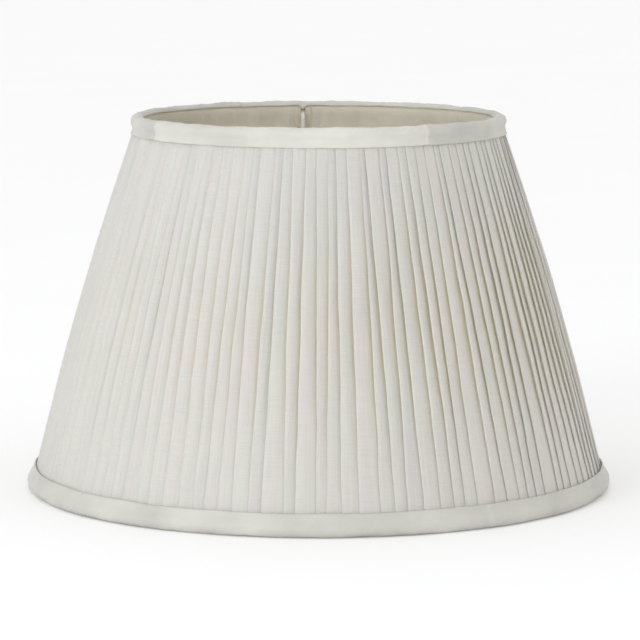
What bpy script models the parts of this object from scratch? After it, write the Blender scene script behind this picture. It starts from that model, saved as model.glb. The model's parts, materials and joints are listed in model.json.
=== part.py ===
"""Knife-pleated empire lamp shade: wire frame, pleated cover, soft lining and reversible lamp fitting.

Metres, +Z up. The origin is the centre of the bottom rim, on the surface that the shade stands on.
The fitting hangs from two arms on the Y axis and turns about the line through their eyes.
"""

import math

import bpy
from mathutils import Vector

# Overall sizes, over the cloth
HEIGHT = 0.2258
TOP_DIAMETER = 0.2262
BOTTOM_DIAMETER = 0.3550

# Wire frame
RING_WIRE_RADIUS = 0.0018
STRUT_COUNT = 12
STRUT_WIRE_RADIUS = 0.00125
STRUT_SETBACK = 0.0013
STRUT_FIRST_ANGLE = math.radians(15)

# Cloth
TAPE_THICKNESS = 0.00030
CLOTH_THICKNESS = 0.00030
TOP_TRIM_THICKNESS = 0.00047
BOTTOM_TRIM_THICKNESS = 0.00109
SKIRT_THICKNESS = 0.00045
TOP_SKIRT_LENGTH = 0.0082
BOTTOM_SKIRT_LENGTH = 0.0083
INNER_SKIRT_LENGTH = 0.0028
PLEAT_BULK_TOP = 0.00035
PLEAT_BULK_BOTTOM = 0.0013
PLEAT_BULK_SWELL = 0.0019
COVER_BOW = 0.00135
LINING_SLACK = 0.0040

# Lamp fitting
FITTING_WIRE_RADIUS = 0.0014
PIVOT_DEPTH = 0.0220
PIVOT_PLAY = 0.0004
GIMBAL_DROP = 0.0300
PIVOT_HEAD_LIP = 0.0012
PIVOT_HEAD_LENGTH = 0.0012
PIVOT_STRAIGHT = 0.0080
LAMP_RING_HOLE_RADIUS = 0.02075
LAMP_RING_WIDTH = 0.00525
LAMP_RING_THICKNESS = 0.0016
REDUCER_HOLE_RADIUS = 0.0145
REDUCER_FLANGE_OVERLAP = 0.0035
REDUCER_FLANGE_THICKNESS = 0.0012
REDUCER_SPIGOT_WALL = 0.0015
REDUCER_SPIGOT_DEPTH = 0.0040

# Cloth patches that close the lining round the arms
PATCH_WIDTH = 0.0130
PATCH_HEIGHT = 0.0115

CLEARANCE = 0.0003
ROUND_STEPS = 48
SIDE_STEPS = 8
CORNER_STEPS = 4

# Radii of the cloth layers round the ring wires
TAPE_INNER = RING_WIRE_RADIUS + CLEARANCE
TAPE_OUTER = TAPE_INNER + TAPE_THICKNESS
LAP_INNER = TAPE_OUTER + CLEARANCE
LAP_OUTER = LAP_INNER + CLOTH_THICKNESS
TRIM_INNER = LAP_OUTER + CLEARANCE
TOP_ROLL = TRIM_INNER + TOP_TRIM_THICKNESS
BOTTOM_ROLL = TRIM_INNER + BOTTOM_TRIM_THICKNESS

# Wire centres in the (radius, height) plane, and the straight side between them
TOP_WIRE = Vector((TOP_DIAMETER / 2 - TOP_ROLL, HEIGHT - TOP_ROLL))
BOTTOM_WIRE = Vector((BOTTOM_DIAMETER / 2 - BOTTOM_ROLL, BOTTOM_ROLL))
SIDE_LENGTH = (BOTTOM_WIRE - TOP_WIRE).length
DOWN_SIDE = (BOTTOM_WIRE - TOP_WIRE).normalized()
OUT_OF_SIDE = Vector((-DOWN_SIDE.y, DOWN_SIDE.x))

STRUT_END = RING_WIRE_RADIUS + CLEARANCE
COVER_BACK = STRUT_WIRE_RADIUS - STRUT_SETBACK + CLEARANCE
LINING_FACE = -STRUT_WIRE_RADIUS - STRUT_SETBACK - CLEARANCE

EYE_RADIUS = 2 * FITTING_WIRE_RADIUS + PIVOT_PLAY
PIVOT_HEAD_RADIUS = FITTING_WIRE_RADIUS + PIVOT_HEAD_LIP
PIVOT_HEIGHT = TOP_WIRE.y - PIVOT_DEPTH
ARM_RADIUS = TOP_WIRE.x - TOP_ROLL - CLEARANCE - FITTING_WIRE_RADIUS
LAMP_RING_RADIUS = LAMP_RING_HOLE_RADIUS + LAMP_RING_WIDTH


def clear_scene():
    for old in list(bpy.data.objects):
        bpy.data.objects.remove(old, do_unlink=True)


def collection(name):
    made = bpy.data.collections.new(name)
    bpy.context.scene.collection.children.link(made)
    return made


def material(name, colour, roughness, metallic=0.0):
    made = bpy.data.materials.new(name)
    made.use_nodes = True
    shader = made.node_tree.nodes["Principled BSDF"]
    shader.inputs["Base Color"].default_value = (*colour, 1)
    shader.inputs["Roughness"].default_value = roughness
    shader.inputs["Metallic"].default_value = metallic
    made.diffuse_color = (*colour, 1)
    return made


def place(name, data, finish, parent=None):
    """Links an object with this data to the shade and gives it its finish."""
    piece = bpy.data.objects.new(name, data)
    data.materials.append(finish)
    shade.objects.link(piece)
    piece.parent = parent
    return piece


def side_point(down, out):
    """The (radius, height) point this far down the side from the top wire and this far out of it."""
    return TOP_WIRE + DOWN_SIDE * down + OUT_OF_SIDE * out


def round_wire(centre, layer, angles):
    """The corners, at these angles in degrees, of an octagon whose flats lie `layer` from a wire's centre."""
    reach = layer / math.cos(math.radians(22.5))
    turns = [math.radians(angle) for angle in angles]
    return [centre + Vector((math.cos(turn), math.sin(turn))) * reach for turn in turns]


def signed_area(outline):
    following = outline[1:] + outline[:1]
    return sum(a.x * b.y - b.x * a.y for a, b in zip(outline, following)) / 2


def turned(name, outline, finish, parent=None):
    """A closed (radius, height) outline turned once round the Z axis."""
    if signed_area(outline) > 0:
        outline = outline[::-1]
    count = len(outline)
    profile = bpy.data.meshes.new(name)
    profile.from_pydata(
        [(point.x, 0, point.y) for point in outline],
        [(index, (index + 1) % count) for index in range(count)],
        [],
    )
    piece = place(name, profile, finish, parent)
    turn = piece.modifiers.new("Turn", "SCREW")
    turn.steps = ROUND_STEPS
    turn.render_steps = ROUND_STEPS
    turn.use_merge_vertices = True
    turn.merge_threshold = 0.00001
    turn.use_smooth_shade = True
    return piece


def wire(name, path, radius, finish, parent=None, swellings=None):
    """A round wire along a path; swellings gives a wider factor of its radius at some points."""
    curve = bpy.data.curves.new(name, "CURVE")
    curve.dimensions = "3D"
    curve.bevel_depth = radius
    curve.bevel_resolution = 2
    curve.use_fill_caps = True
    spline = curve.splines.new("POLY")
    spline.points.add(len(path) - 1)
    for index, (point, corner) in enumerate(zip(spline.points, path)):
        point.co = (*corner, 1)
        point.radius = (swellings or {}).get(index, 1.0)
    return place(name, curve, finish, parent)


def bent(path, bend_radius):
    """The path with each inner corner rounded to a bend of this radius."""
    rounded = [path[0]]
    for before, corner, after in zip(path, path[1:], path[2:]):
        incoming = (before - corner).normalized()
        outgoing = (after - corner).normalized()
        half_angle = incoming.angle(outgoing) / 2
        centre_line = (incoming + outgoing).normalized()
        centre = corner + centre_line * (bend_radius / math.sin(half_angle))
        tangent_length = bend_radius / math.tan(half_angle)
        start = (corner + incoming * tangent_length - centre).normalized()
        finish = (corner + outgoing * tangent_length - centre).normalized()
        for step in range(CORNER_STEPS + 1):
            rounded.append(centre + start.slerp(finish, step / CORNER_STEPS) * bend_radius)
    rounded.append(path[-1])
    return rounded


def box_cutter(name, low, high):
    bpy.ops.mesh.primitive_cube_add(size=1, location=(low + high) / 2)
    cutter = bpy.context.object
    cutter.name = name
    cutter.scale = high - low
    cutter.display_type = "WIRE"
    cutter.hide_render = True
    for old in list(cutter.users_collection):
        old.objects.unlink(cutter)
    cutters.objects.link(cutter)
    return cutter


def add_ring_wire(name, centre):
    bpy.ops.mesh.primitive_torus_add(
        major_radius=centre.x,
        minor_radius=RING_WIRE_RADIUS,
        major_segments=ROUND_STEPS,
        minor_segments=8,
        location=(0, 0, centre.y),
    )
    made = bpy.context.object
    made.name = name
    made.data.materials.append(steel)
    made.data.shade_smooth()
    for old in list(made.users_collection):
        old.objects.unlink(made)
    shade.objects.link(made)


def add_struts():
    """Straight wires welded between the rings, set in so that the cover pulls over them."""
    ends = [side_point(down, -STRUT_SETBACK) for down in (STRUT_END, SIDE_LENGTH - STRUT_END)]
    for number in range(STRUT_COUNT):
        turn = STRUT_FIRST_ANGLE + number * 2 * math.pi / STRUT_COUNT
        outward = Vector((math.cos(turn), math.sin(turn), 0))
        path = [outward * end.x + Vector((0, 0, end.y)) for end in ends]
        wire(f"strut_{number + 1:02d}", path, STRUT_WIRE_RADIUS, steel)


def add_ring_tape(name, centre, angles):
    """Cotton tape wound on a ring wire, open where the struts meet it."""
    outline = round_wire(centre, TAPE_OUTER, angles) + round_wire(centre, TAPE_INNER, angles[::-1])
    turned(name, outline, tape)


def cover_back(down):
    return COVER_BACK + COVER_BOW * math.sin(math.pi * down / SIDE_LENGTH)


def cover_front(down):
    """How far the crests of the pleats stand out of the side."""
    share = down / SIDE_LENGTH
    bulk = PLEAT_BULK_TOP + (PLEAT_BULK_BOTTOM - PLEAT_BULK_TOP) * share
    return cover_back(down) + bulk + PLEAT_BULK_SWELL * math.sin(math.pi * share)


def lining_face(down):
    return LINING_FACE - LINING_SLACK * math.sin(math.pi * down / SIDE_LENGTH)


def side_stations(first, last):
    return [first + (last - first) * step / SIDE_STEPS for step in range(SIDE_STEPS + 1)]


def add_cover():
    """The pleated cloth as one shell from the backs of the folds to their crests, lapped round both rings."""
    top_lap = (67.5, 22.5, -22.5)
    bottom_lap = (22.5, -22.5, -67.5)
    stations = side_stations(TOP_SKIRT_LENGTH / 2, SIDE_LENGTH - BOTTOM_SKIRT_LENGTH)
    front = round_wire(TOP_WIRE, LAP_OUTER, top_lap)
    front += [side_point(down, cover_front(down)) for down in stations]
    front += round_wire(BOTTOM_WIRE, LAP_OUTER, bottom_lap)
    back = round_wire(TOP_WIRE, LAP_INNER, top_lap)
    back += [side_point(down, cover_back(down)) for down in stations]
    back += round_wire(BOTTOM_WIRE, LAP_INNER, bottom_lap)
    turned("pleated_cover", front + back[::-1], ivory_cloth)


def add_lining():
    """The soft lining, lapped round both rings from inside and slit from its top edge for each arm."""
    top_lap = (112.5, 157.5, 202.5)
    bottom_lap = (202.5, 247.5)
    stations = side_stations(TOP_SKIRT_LENGTH / 2, SIDE_LENGTH - STRUT_END)
    face = round_wire(TOP_WIRE, LAP_INNER, top_lap)
    face += [side_point(down, lining_face(down)) for down in stations]
    face += round_wire(BOTTOM_WIRE, LAP_INNER, bottom_lap)
    inside = round_wire(TOP_WIRE, LAP_OUTER, top_lap)
    inside += [side_point(down, lining_face(down) - CLOTH_THICKNESS) for down in stations]
    inside += round_wire(BOTTOM_WIRE, LAP_OUTER, bottom_lap)
    lining = turned("lining", face + inside[::-1], lining_cloth)
    for side, end in ((1, "back"), (-1, "front")):
        middle = Vector((-side * EYE_RADIUS, side * ARM_RADIUS, 0))
        half = Vector((FITTING_WIRE_RADIUS + 2 * CLEARANCE, 4 * TOP_ROLL, 0))
        low = middle - half + Vector((0, 0, TOP_WIRE.y - TOP_SKIRT_LENGTH / 2 - 2 * FITTING_WIRE_RADIUS))
        high = middle + half + Vector((0, 0, HEIGHT))
        slit = lining.modifiers.new(f"Slit {end}", "BOOLEAN")
        slit.object = box_cutter(f"slit_{end}", low, high)
        slit.operation = "DIFFERENCE"
        slit.solver = "EXACT"


def add_trims():
    """Bias bindings folded over both rings: each has an outer skirt and a short turn inside."""
    top_wrap = (202.5, 157.5, 112.5, 67.5, 22.5, -22.5)
    skirt = [(down, cover_front(down) + CLEARANCE) for down in (TOP_SKIRT_LENGTH / 2, TOP_SKIRT_LENGTH)]
    inner = round_wire(TOP_WIRE, TRIM_INNER, top_wrap)
    inner += [side_point(down, out) for down, out in skirt]
    outer = round_wire(TOP_WIRE, TOP_ROLL, top_wrap)
    outer += [side_point(down, out + SKIRT_THICKNESS) for down, out in skirt]
    turned("top_trim", inner + outer[::-1], trim_cloth)

    bottom_wrap = (22.5, -22.5, -67.5, -112.5, -157.5)
    edge = SIDE_LENGTH - BOTTOM_SKIRT_LENGTH
    hem = SIDE_LENGTH - INNER_SKIRT_LENGTH
    inside = lining_face(hem) - CLOTH_THICKNESS - CLEARANCE
    inner = [side_point(edge, cover_front(edge) + CLEARANCE)]
    inner += round_wire(BOTTOM_WIRE, TRIM_INNER, bottom_wrap)
    inner += [side_point(hem, inside)]
    outer = [side_point(edge, cover_front(edge) + CLEARANCE + SKIRT_THICKNESS)]
    outer += round_wire(BOTTOM_WIRE, BOTTOM_ROLL, bottom_wrap)
    outer += [side_point(hem, inside - SKIRT_THICKNESS)]
    turned("bottom_trim", inner + outer[::-1], trim_cloth)


def add_arm(side, end):
    """A wire welded under the top ring, hanging inside the lining and curled into an eye."""
    weld = RING_WIRE_RADIUS + CLEARANCE + 0.4 * FITTING_WIRE_RADIUS
    turn = math.radians(250)
    start = TOP_WIRE + Vector((math.cos(turn), math.sin(turn))) * weld
    shoulder = start.y - 0.8 * (start.x - ARM_RADIUS)
    stem = bent(
        [
            Vector((-EYE_RADIUS, start.x, start.y)),
            Vector((-EYE_RADIUS, ARM_RADIUS, shoulder)),
            Vector((-EYE_RADIUS, ARM_RADIUS, PIVOT_HEIGHT)),
        ],
        2 * FITTING_WIRE_RADIUS,
    )
    curl = [math.radians(angle) for angle in range(180, 451, 30)]
    eye = [
        Vector((EYE_RADIUS * math.cos(angle), ARM_RADIUS, PIVOT_HEIGHT + EYE_RADIUS * math.sin(angle)))
        for angle in curl
    ]
    path = [Vector((side * point.x, side * point.y, point.z)) for point in stem[:-1] + eye]
    wire(f"fitting_arm_{end}", path, FITTING_WIRE_RADIUS, white_steel)


def add_patch(side, end):
    """A small cloth patch on the lining, notched round the arm where it comes through."""
    half_width = PATCH_WIDTH / 2
    notch = FITTING_WIRE_RADIUS + 2 * CLEARANCE
    notch_foot = -PATCH_HEIGHT * 0.55
    outline = [
        (-half_width, 0),
        (-half_width, -PATCH_HEIGHT),
        (half_width, -PATCH_HEIGHT),
        (half_width, 0),
        (notch, 0),
        (notch, notch_foot),
        (-notch, notch_foot),
        (-notch, 0),
    ]
    curve = bpy.data.curves.new(f"lining_patch_{end}", "CURVE")
    curve.dimensions = "2D"
    curve.fill_mode = "BOTH"
    curve.extrude = CLOTH_THICKNESS / 2
    spline = curve.splines.new("POLY")
    spline.points.add(len(outline) - 1)
    for point, corner in zip(spline.points, outline):
        point.co = (*corner, 0, 1)
    spline.use_cyclic_u = True
    patch = place(f"lining_patch_{end}", curve, lining_cloth)
    head = TOP_ROLL * math.tan(math.radians(22.5)) + 2 * CLEARANCE
    curve_depth = (half_width + EYE_RADIUS) ** 2 / TOP_WIRE.x
    inside = lining_face(PATCH_HEIGHT) - CLOTH_THICKNESS * 1.5 - CLEARANCE - curve_depth
    top = side_point(head, inside)
    lean = math.atan2(DOWN_SIDE.x, -DOWN_SIDE.y)
    patch.location = (-side * EYE_RADIUS, side * top.x, top.y)
    patch.rotation_euler = (math.pi / 2 + lean, 0, 0 if side > 0 else math.pi)


def add_fitting():
    """The reversible gimbal on its pivot line, with the reducer that lifts out of its lamp ring."""
    pivot = bpy.data.objects.new("gimbal_pivot", None)
    pivot.location = (0, 0, PIVOT_HEIGHT)
    shade.objects.link(pivot)

    ring_top = -GIMBAL_DROP + LAMP_RING_THICKNESS / 2
    ring_foot = -GIMBAL_DROP - LAMP_RING_THICKNESS / 2
    ring_outline = [
        Vector((LAMP_RING_HOLE_RADIUS, ring_top)),
        Vector((LAMP_RING_RADIUS, ring_top)),
        Vector((LAMP_RING_RADIUS, ring_foot)),
        Vector((LAMP_RING_HOLE_RADIUS, ring_foot)),
    ]
    turned("lamp_ring", ring_outline, white_steel, pivot)

    head_inner = ARM_RADIUS + FITTING_WIRE_RADIUS + CLEARANCE
    head_outer = head_inner + PIVOT_HEAD_LENGTH
    straight_end = ARM_RADIUS - PIVOT_STRAIGHT
    ring_edge = LAMP_RING_RADIUS + CLEARANCE
    for side, end in ((1, "back"), (-1, "front")):
        run = bent(
            [
                Vector((0, side * head_inner, 0)),
                Vector((0, side * straight_end, 0)),
                Vector((0, side * (ring_edge + PIVOT_STRAIGHT), -GIMBAL_DROP)),
                Vector((0, side * ring_edge, -GIMBAL_DROP)),
            ],
            4 * FITTING_WIRE_RADIUS,
        )
        head = [Vector((0, side * head_outer, 0)), Vector((0, side * (head_inner + CLEARANCE / 3), 0))]
        swell = PIVOT_HEAD_RADIUS / FITTING_WIRE_RADIUS
        wire(f"gimbal_wire_{end}", head + run, FITTING_WIRE_RADIUS, white_steel, pivot, {0: swell, 1: swell})

    flange_foot = ring_top + CLEARANCE
    flange_top = flange_foot + REDUCER_FLANGE_THICKNESS
    flange_radius = LAMP_RING_HOLE_RADIUS + REDUCER_FLANGE_OVERLAP
    spigot_radius = LAMP_RING_HOLE_RADIUS - CLEARANCE
    spigot_foot = flange_foot - REDUCER_SPIGOT_DEPTH
    reducer_outline = [
        Vector((REDUCER_HOLE_RADIUS, flange_top)),
        Vector((flange_radius, flange_top)),
        Vector((flange_radius, flange_foot)),
        Vector((spigot_radius, flange_foot)),
        Vector((spigot_radius, spigot_foot)),
        Vector((spigot_radius - REDUCER_SPIGOT_WALL, spigot_foot)),
        Vector((spigot_radius - REDUCER_SPIGOT_WALL, flange_foot)),
        Vector((REDUCER_HOLE_RADIUS, flange_foot)),
    ]
    turned("reducer_ring", reducer_outline, white_plastic, pivot)


clear_scene()
shade = collection("pleated_lamp_shade")
cutters = collection("cutters")

steel = material("frame_wire", (0.62, 0.62, 0.60), 0.4, 0.9)
white_steel = material("white_painted_wire", (0.83, 0.83, 0.82), 0.35)
white_plastic = material("white_plastic", (0.86, 0.86, 0.84), 0.4)
tape = material("cotton_tape", (0.80, 0.77, 0.68), 0.95)
ivory_cloth = material("ivory_pleated_cloth", (0.79, 0.78, 0.73), 0.85)
trim_cloth = material("ivory_bias_trim", (0.74, 0.73, 0.70), 0.7)
lining_cloth = material("cream_lining", (0.66, 0.63, 0.53), 0.85)

add_ring_wire("top_ring", TOP_WIRE)
add_ring_wire("bottom_ring", BOTTOM_WIRE)
add_struts()
add_ring_tape("top_ring_tape", TOP_WIRE, (-22.5, 22.5, 67.5, 112.5, 157.5, 202.5))
add_ring_tape("bottom_ring_tape", BOTTOM_WIRE, (202.5, 247.5, 292.5, 337.5, 382.5, 427.5))
add_cover()
add_lining()
add_trims()
for arm_side, arm_end in ((1, "back"), (-1, "front")):
    add_arm(arm_side, arm_end)
    add_patch(arm_side, arm_end)
add_fitting()
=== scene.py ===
"""Looks of the knife-pleated empire lamp shade, laid out as an add-on and run as a script.

Metres, +Z up, in the packed model's frame. Angles go counter-clockwise from +X, seen from above.
A place on the sloping side is given as (down, out): down the side from the top ring's wire, and out of it.
"""

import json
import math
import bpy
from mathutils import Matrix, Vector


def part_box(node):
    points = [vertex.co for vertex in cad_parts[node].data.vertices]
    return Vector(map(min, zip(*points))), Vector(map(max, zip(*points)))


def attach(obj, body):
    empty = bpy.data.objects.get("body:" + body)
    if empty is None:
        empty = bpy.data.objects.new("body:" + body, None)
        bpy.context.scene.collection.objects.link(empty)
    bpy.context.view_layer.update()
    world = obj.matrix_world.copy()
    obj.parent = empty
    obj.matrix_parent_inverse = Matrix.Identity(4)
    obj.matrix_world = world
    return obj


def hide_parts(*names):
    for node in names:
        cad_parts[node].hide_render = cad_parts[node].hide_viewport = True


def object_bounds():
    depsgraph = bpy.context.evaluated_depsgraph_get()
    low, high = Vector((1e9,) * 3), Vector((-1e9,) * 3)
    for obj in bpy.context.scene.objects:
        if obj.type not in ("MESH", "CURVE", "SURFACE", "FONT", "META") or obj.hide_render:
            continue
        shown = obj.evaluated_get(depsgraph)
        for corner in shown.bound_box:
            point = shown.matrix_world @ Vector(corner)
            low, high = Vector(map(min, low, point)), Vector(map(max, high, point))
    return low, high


bl_info = {
    "name": "Pleated Empire Shade",
    "version": (1, 0, 0),
    "blender": (4, 5, 0),
    "location": "3D View > Sidebar > Shade",
    "description": "Makes the cloth, wire and lamp fitting of a knife-pleated empire lamp shade",
    "category": "Object",
}

import bmesh
import bpy
from bpy.props import FloatProperty, FloatVectorProperty, IntProperty, PointerProperty
from mathutils import Matrix, Vector, noise

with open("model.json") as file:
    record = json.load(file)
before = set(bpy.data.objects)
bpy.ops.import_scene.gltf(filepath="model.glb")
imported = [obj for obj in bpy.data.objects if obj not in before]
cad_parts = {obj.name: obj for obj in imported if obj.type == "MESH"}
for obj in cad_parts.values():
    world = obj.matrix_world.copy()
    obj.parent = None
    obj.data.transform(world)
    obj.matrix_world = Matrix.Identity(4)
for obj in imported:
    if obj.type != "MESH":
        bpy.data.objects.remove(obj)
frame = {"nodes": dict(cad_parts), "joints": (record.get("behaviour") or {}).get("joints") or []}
CAD_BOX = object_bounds()


def ring_wire(node):
    """A ring's wire radius, and the (radius, height) of the wire's centre."""
    low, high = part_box(node)
    thickness = (high.z - low.z) / 2
    return thickness, Vector((high.x - thickness, high.z - thickness))


RING_WIRE, TOP_WIRE = ring_wire("top_ring")
BOTTOM_WIRE = ring_wire("bottom_ring")[1]
SIDE_LENGTH = (BOTTOM_WIRE - TOP_WIRE).length
DOWN_SIDE = (BOTTOM_WIRE - TOP_WIRE).normalized()
OUT_OF_SIDE = Vector((-DOWN_SIDE.y, DOWN_SIDE.x))
SIDE_LEAN = math.atan2(OUT_OF_SIDE.y, OUT_OF_SIDE.x)

# Points of a mesh that lie this close are one point
SAME_PLACE = 0.000001

# How far each cloth layer stands from the centre of the ring's wire
CLOTH = 0.0003
TAPE_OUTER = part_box("top_ring_tape")[1].z - TOP_WIRE.y
LAP_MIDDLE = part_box("pleated_cover")[1].z - TOP_WIRE.y - CLOTH / 2
TOP_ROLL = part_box("top_trim")[1].z - TOP_WIRE.y
BOTTOM_ROLL = BOTTOM_WIRE.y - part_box("bottom_trim")[0].z

PIVOT = Vector(next(joint["pos_m"] for joint in frame["joints"] if joint["name"] == "gimbal_turn"))
FITTING_WIRE = 0.0014
ARM_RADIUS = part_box("fitting_arm_back")[0].y + FITTING_WIRE
EYE_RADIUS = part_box("fitting_arm_back")[1].x - FITTING_WIRE
ARM_ANGLES = [math.atan2(side * ARM_RADIUS, -side * EYE_RADIUS) for side in (1, -1)]

# Where the camera stands, and so which way the seen features face
CAMERA_TURN = math.radians(-3.65)
NEAR_ANGLE = CAMERA_TURN - math.pi / 2
FAR_ANGLE = CAMERA_TURN + math.pi / 2

# Where the ends of the binding strips meet, and where the lining's panels are seamed
JOIN_ANGLES = [
    NEAR_ANGLE + math.radians(-58.5),
    NEAR_ANGLE + math.radians(34),
    FAR_ANGLE + math.radians(27.4),
]
SEAM_ANGLES = [FAR_ANGLE + math.radians(turn) for turn in (49.1, 27.4, -54, 186)]

# One pleat's section from its crest: share of the pitch, share of the tuck, and share of the depth
PLEAT_SECTION = [
    (0.00, 0.0, 0.80),
    (0.02, 0.0, 0.93),
    (0.075, 0.0, 0.99),
    (0.16, 0.0, 1.0),
    (0.27, 0.0, 0.96),
    (0.39, 0.0, 0.87),
    (0.52, 0.0, 0.73),
    (0.65, 0.0, 0.55),
    (0.78, 0.0, 0.36),
    (0.90, 0.0, 0.19),
    (1.0, 0.02, 0.08),
    (1.0, 0.5, 0.02),
    (1.0, 1.0, 0.0),
    (1.0, 0.97, 0.14),
    (1.0, 0.55, 0.34),
    (1.0, 0.16, 0.60),
]

# Each pleat takes its own share of the depth, between these two
LEAST_FULLNESS = 0.62
MOST_FULLNESS = 1.08

# The cloth's least tuck under the next pleat, its soft waves, and what the pleats add over the wires
LEAST_TUCK = 0.0008
COVER_UNEVENNESS = 0.0012
PLEATS_OVER_WIRE = 0.0002

# Where the bindings lie beside the wires: (down, out) from the top one, and (up, out) from the bottom one
TOP_SKIRT = [
    (0.0016, 0.00330),
    (0.0030, 0.00240),
    (0.0042, 0.00176),
    (0.0055, 0.00148),
    (0.0068, 0.00142),
    (0.0082, 0.00150),
]
BOTTOM_SKIRT = [
    (0.0084, 0.00225),
    (0.0068, 0.00235),
    (0.0052, 0.00262),
    (0.0034, 0.00315),
    (0.0016, 0.00365),
]
BOTTOM_INSIDE = [
    (0.0018, -0.0042),
    (0.0034, -0.0043),
    (0.0046, -0.0044),
]

# The lining stands this far in from the side, and its folds are this deep at the rings
LINING_STAND = 0.0030
LINING_FOLD_AT_RINGS = 0.0012


# Settings


def length_setting(name, description, default):
    """A setting in metres."""
    return FloatProperty(name=name, description=description, default=default, unit="LENGTH")


def angle_setting(name, description, default):
    """A setting in radians, shown in degrees."""
    return FloatProperty(name=name, description=description, default=default, unit="ROTATION")


def colour_setting(name, description, default):
    """A linear colour."""
    return FloatVectorProperty(name=name, description=description, default=default, subtype="COLOR", size=3)


class CoverSizes(bpy.types.PropertyGroup):
    """Sizes of the pleated cover."""

    pleats: IntProperty(name="Pleats", description="Pleats round the shade", default=118, min=24)
    rows: IntProperty(name="Rows", description="Rows of points down the side", default=46, min=20)
    cloth_per_pleat: length_setting("Cloth per Pleat", "Flat cloth that each pleat takes", 0.0130)
    back: length_setting("Back", "Backs of the folds, out of the side", 0.0003)
    bow: length_setting("Bow", "How far the cover bows out midway", 0.00075)
    bulk_top: length_setting("Bulk at Top", "Depth of the pleats at the top binding", 0.0004)
    bulk_bottom: length_setting("Bulk at Bottom", "Depth of the pleats at the bottom binding", 0.0007)
    swell: length_setting("Swell", "Depth that the pleats gain midway", 0.0025)
    pressed_top: length_setting("Top Pressed", "How far down the top end is pressed flat", 0.0041)
    pressed_bottom: length_setting("Bottom Pressed", "How far up the bottom end is pressed flat", 0.0083)
    stray: FloatProperty(
        name="Stray", description="How far a fold strays, in pleats", default=0.27, min=0, max=0.4
    )
    sway: FloatProperty(
        name="Sway", description="How far a fold sways on its way down, in pleats", default=0.13
    )
    seed: IntProperty(name="Seed", description="Which hand-pleating", default=7)


class TrimSizes(bpy.types.PropertyGroup):
    """Sizes of the bias bindings."""

    columns: IntProperty(name="Columns", description="Steps round each binding", default=600, min=96)
    thickness: length_setting("Thickness", "Thickness of the folded strip", 0.00045)
    bottom_thickness: length_setting("Bottom Thickness", "Thickness over the bottom ring", 0.0008)
    crease: length_setting("Crease", "Height of the creases", 0.00055)
    edge_wander: length_setting("Edge Wander", "How far the edges wander", 0.00035)
    lap: length_setting("Lap", "Step where the strip's end laps over its start", 0.0004)
    hem: length_setting("Hem", "Cloth turned under along both edges together", 0.006)


class LiningSizes(bpy.types.PropertyGroup):
    """Sizes of the soft lining and of the tapes and loops under it."""

    columns: IntProperty(name="Columns", description="Steps round the lining", default=540, min=96)
    rows: IntProperty(name="Rows", description="Steps down the lining", default=36, min=12)
    slack: length_setting("Slack", "How far the lining hangs in midway", 0.0040)
    fold_depth: length_setting("Fold Depth", "Depth of its soft folds midway", 0.0030)
    folds: FloatProperty(name="Folds", description="How close its soft folds lie round the shade", default=22)
    tape_width: length_setting("Tape Width", "Cotton tape wound on the rings", 0.012)
    tape_advance: length_setting("Tape Advance", "How far each turn of the tape moves on", 0.0095)


class FittingSizes(bpy.types.PropertyGroup):
    """Sizes of the lamp fitting's details."""

    edge: length_setting("Edge", "Rounding of the lamp ring's edges", 0.0005)
    weld: length_setting("Weld", "Radius of the weld beads", 0.0021)
    ribs: IntProperty(name="Ribs", description="Ribs under the reducer's web", default=12, min=3)


class Colours(bpy.types.PropertyGroup):
    """Colours of the finishes, linear."""

    cover: colour_setting("Cover", "Ivory cloth", (0.80, 0.785, 0.752))
    # Painted shade: the darker, warmer colour that is painted into the hollows of the pleats
    painted_hollow_shade: colour_setting("Hollows", "Ivory cloth in the hollows of the pleats", (0.78, 0.75, 0.575))
    trim: colour_setting("Binding", "Ivory binding", (0.66, 0.645, 0.592))
    lining: colour_setting("Lining", "Warm lining", (0.93, 0.885, 0.785))
    tape: colour_setting("Tape", "Cotton tape", (0.78, 0.76, 0.71))
    enamel: colour_setting("Enamel", "White enamel", (0.62, 0.61, 0.58))
    zinc: colour_setting("Zinc", "Zinc-plated wire", (0.55, 0.56, 0.57))
    plastic: colour_setting("Plastic", "Plastic of the reducer", (0.78, 0.77, 0.74))


class StageSizes(bpy.types.PropertyGroup):
    """The camera and the light."""

    distance: length_setting("Distance", "Camera to the shade's axis", 2.0798)
    height: length_setting("Height", "Camera over the floor", 0.3797)
    sideways: length_setting("Sideways", "Camera to its right of the axis", 0.00084)
    pitch: angle_setting("Pitch", "Camera's tilt down", math.radians(7.654))
    lens: FloatProperty(name="Lens", description="Focal length in millimetres", default=194.0)
    key_turn: angle_setting("Key Turn", "Key light, round from the camera", math.radians(-37))
    key_power: FloatProperty(name="Key Power", description="Key light's power in watts", default=22.0)
    surround: FloatProperty(name="Surround", description="Even light from all round", default=1.0)


# Mesh helpers


def sized(name):
    """One group of this add-on's settings."""
    return getattr(bpy.context.scene, "shade_" + name)


def side_point(down, out):
    return TOP_WIRE + DOWN_SIDE * down + OUT_OF_SIDE * out


def round_point(wire, angle, radius):
    return wire + Vector((math.cos(angle), math.sin(angle))) * radius


def at_angle(point, angle):
    """The place of a (radius, height) point turned to this angle round Z."""
    return Vector((point.x * math.cos(angle), point.x * math.sin(angle), point.y))


def held_between(value, low, high):
    return min(max(value, low), high)


def swing(angle):
    """The angle brought between minus and plus half a turn."""
    return math.remainder(angle, 2 * math.pi)


def near(angle, centre, half_width):
    """1 at the centre angle, falling smoothly to 0 at half_width on both sides."""
    share = min(abs(swing(angle - centre)) / half_width, 1)
    return (1 - share) ** 2 * (1 + 2 * share)


def ripple(angle, scale, height, seed):
    """Smooth noise from -1 to 1 round the shade; a larger scale is finer."""
    return noise.noise(Vector((math.cos(angle) * scale, math.sin(angle) * scale, height + 17.3 * seed)))


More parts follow.
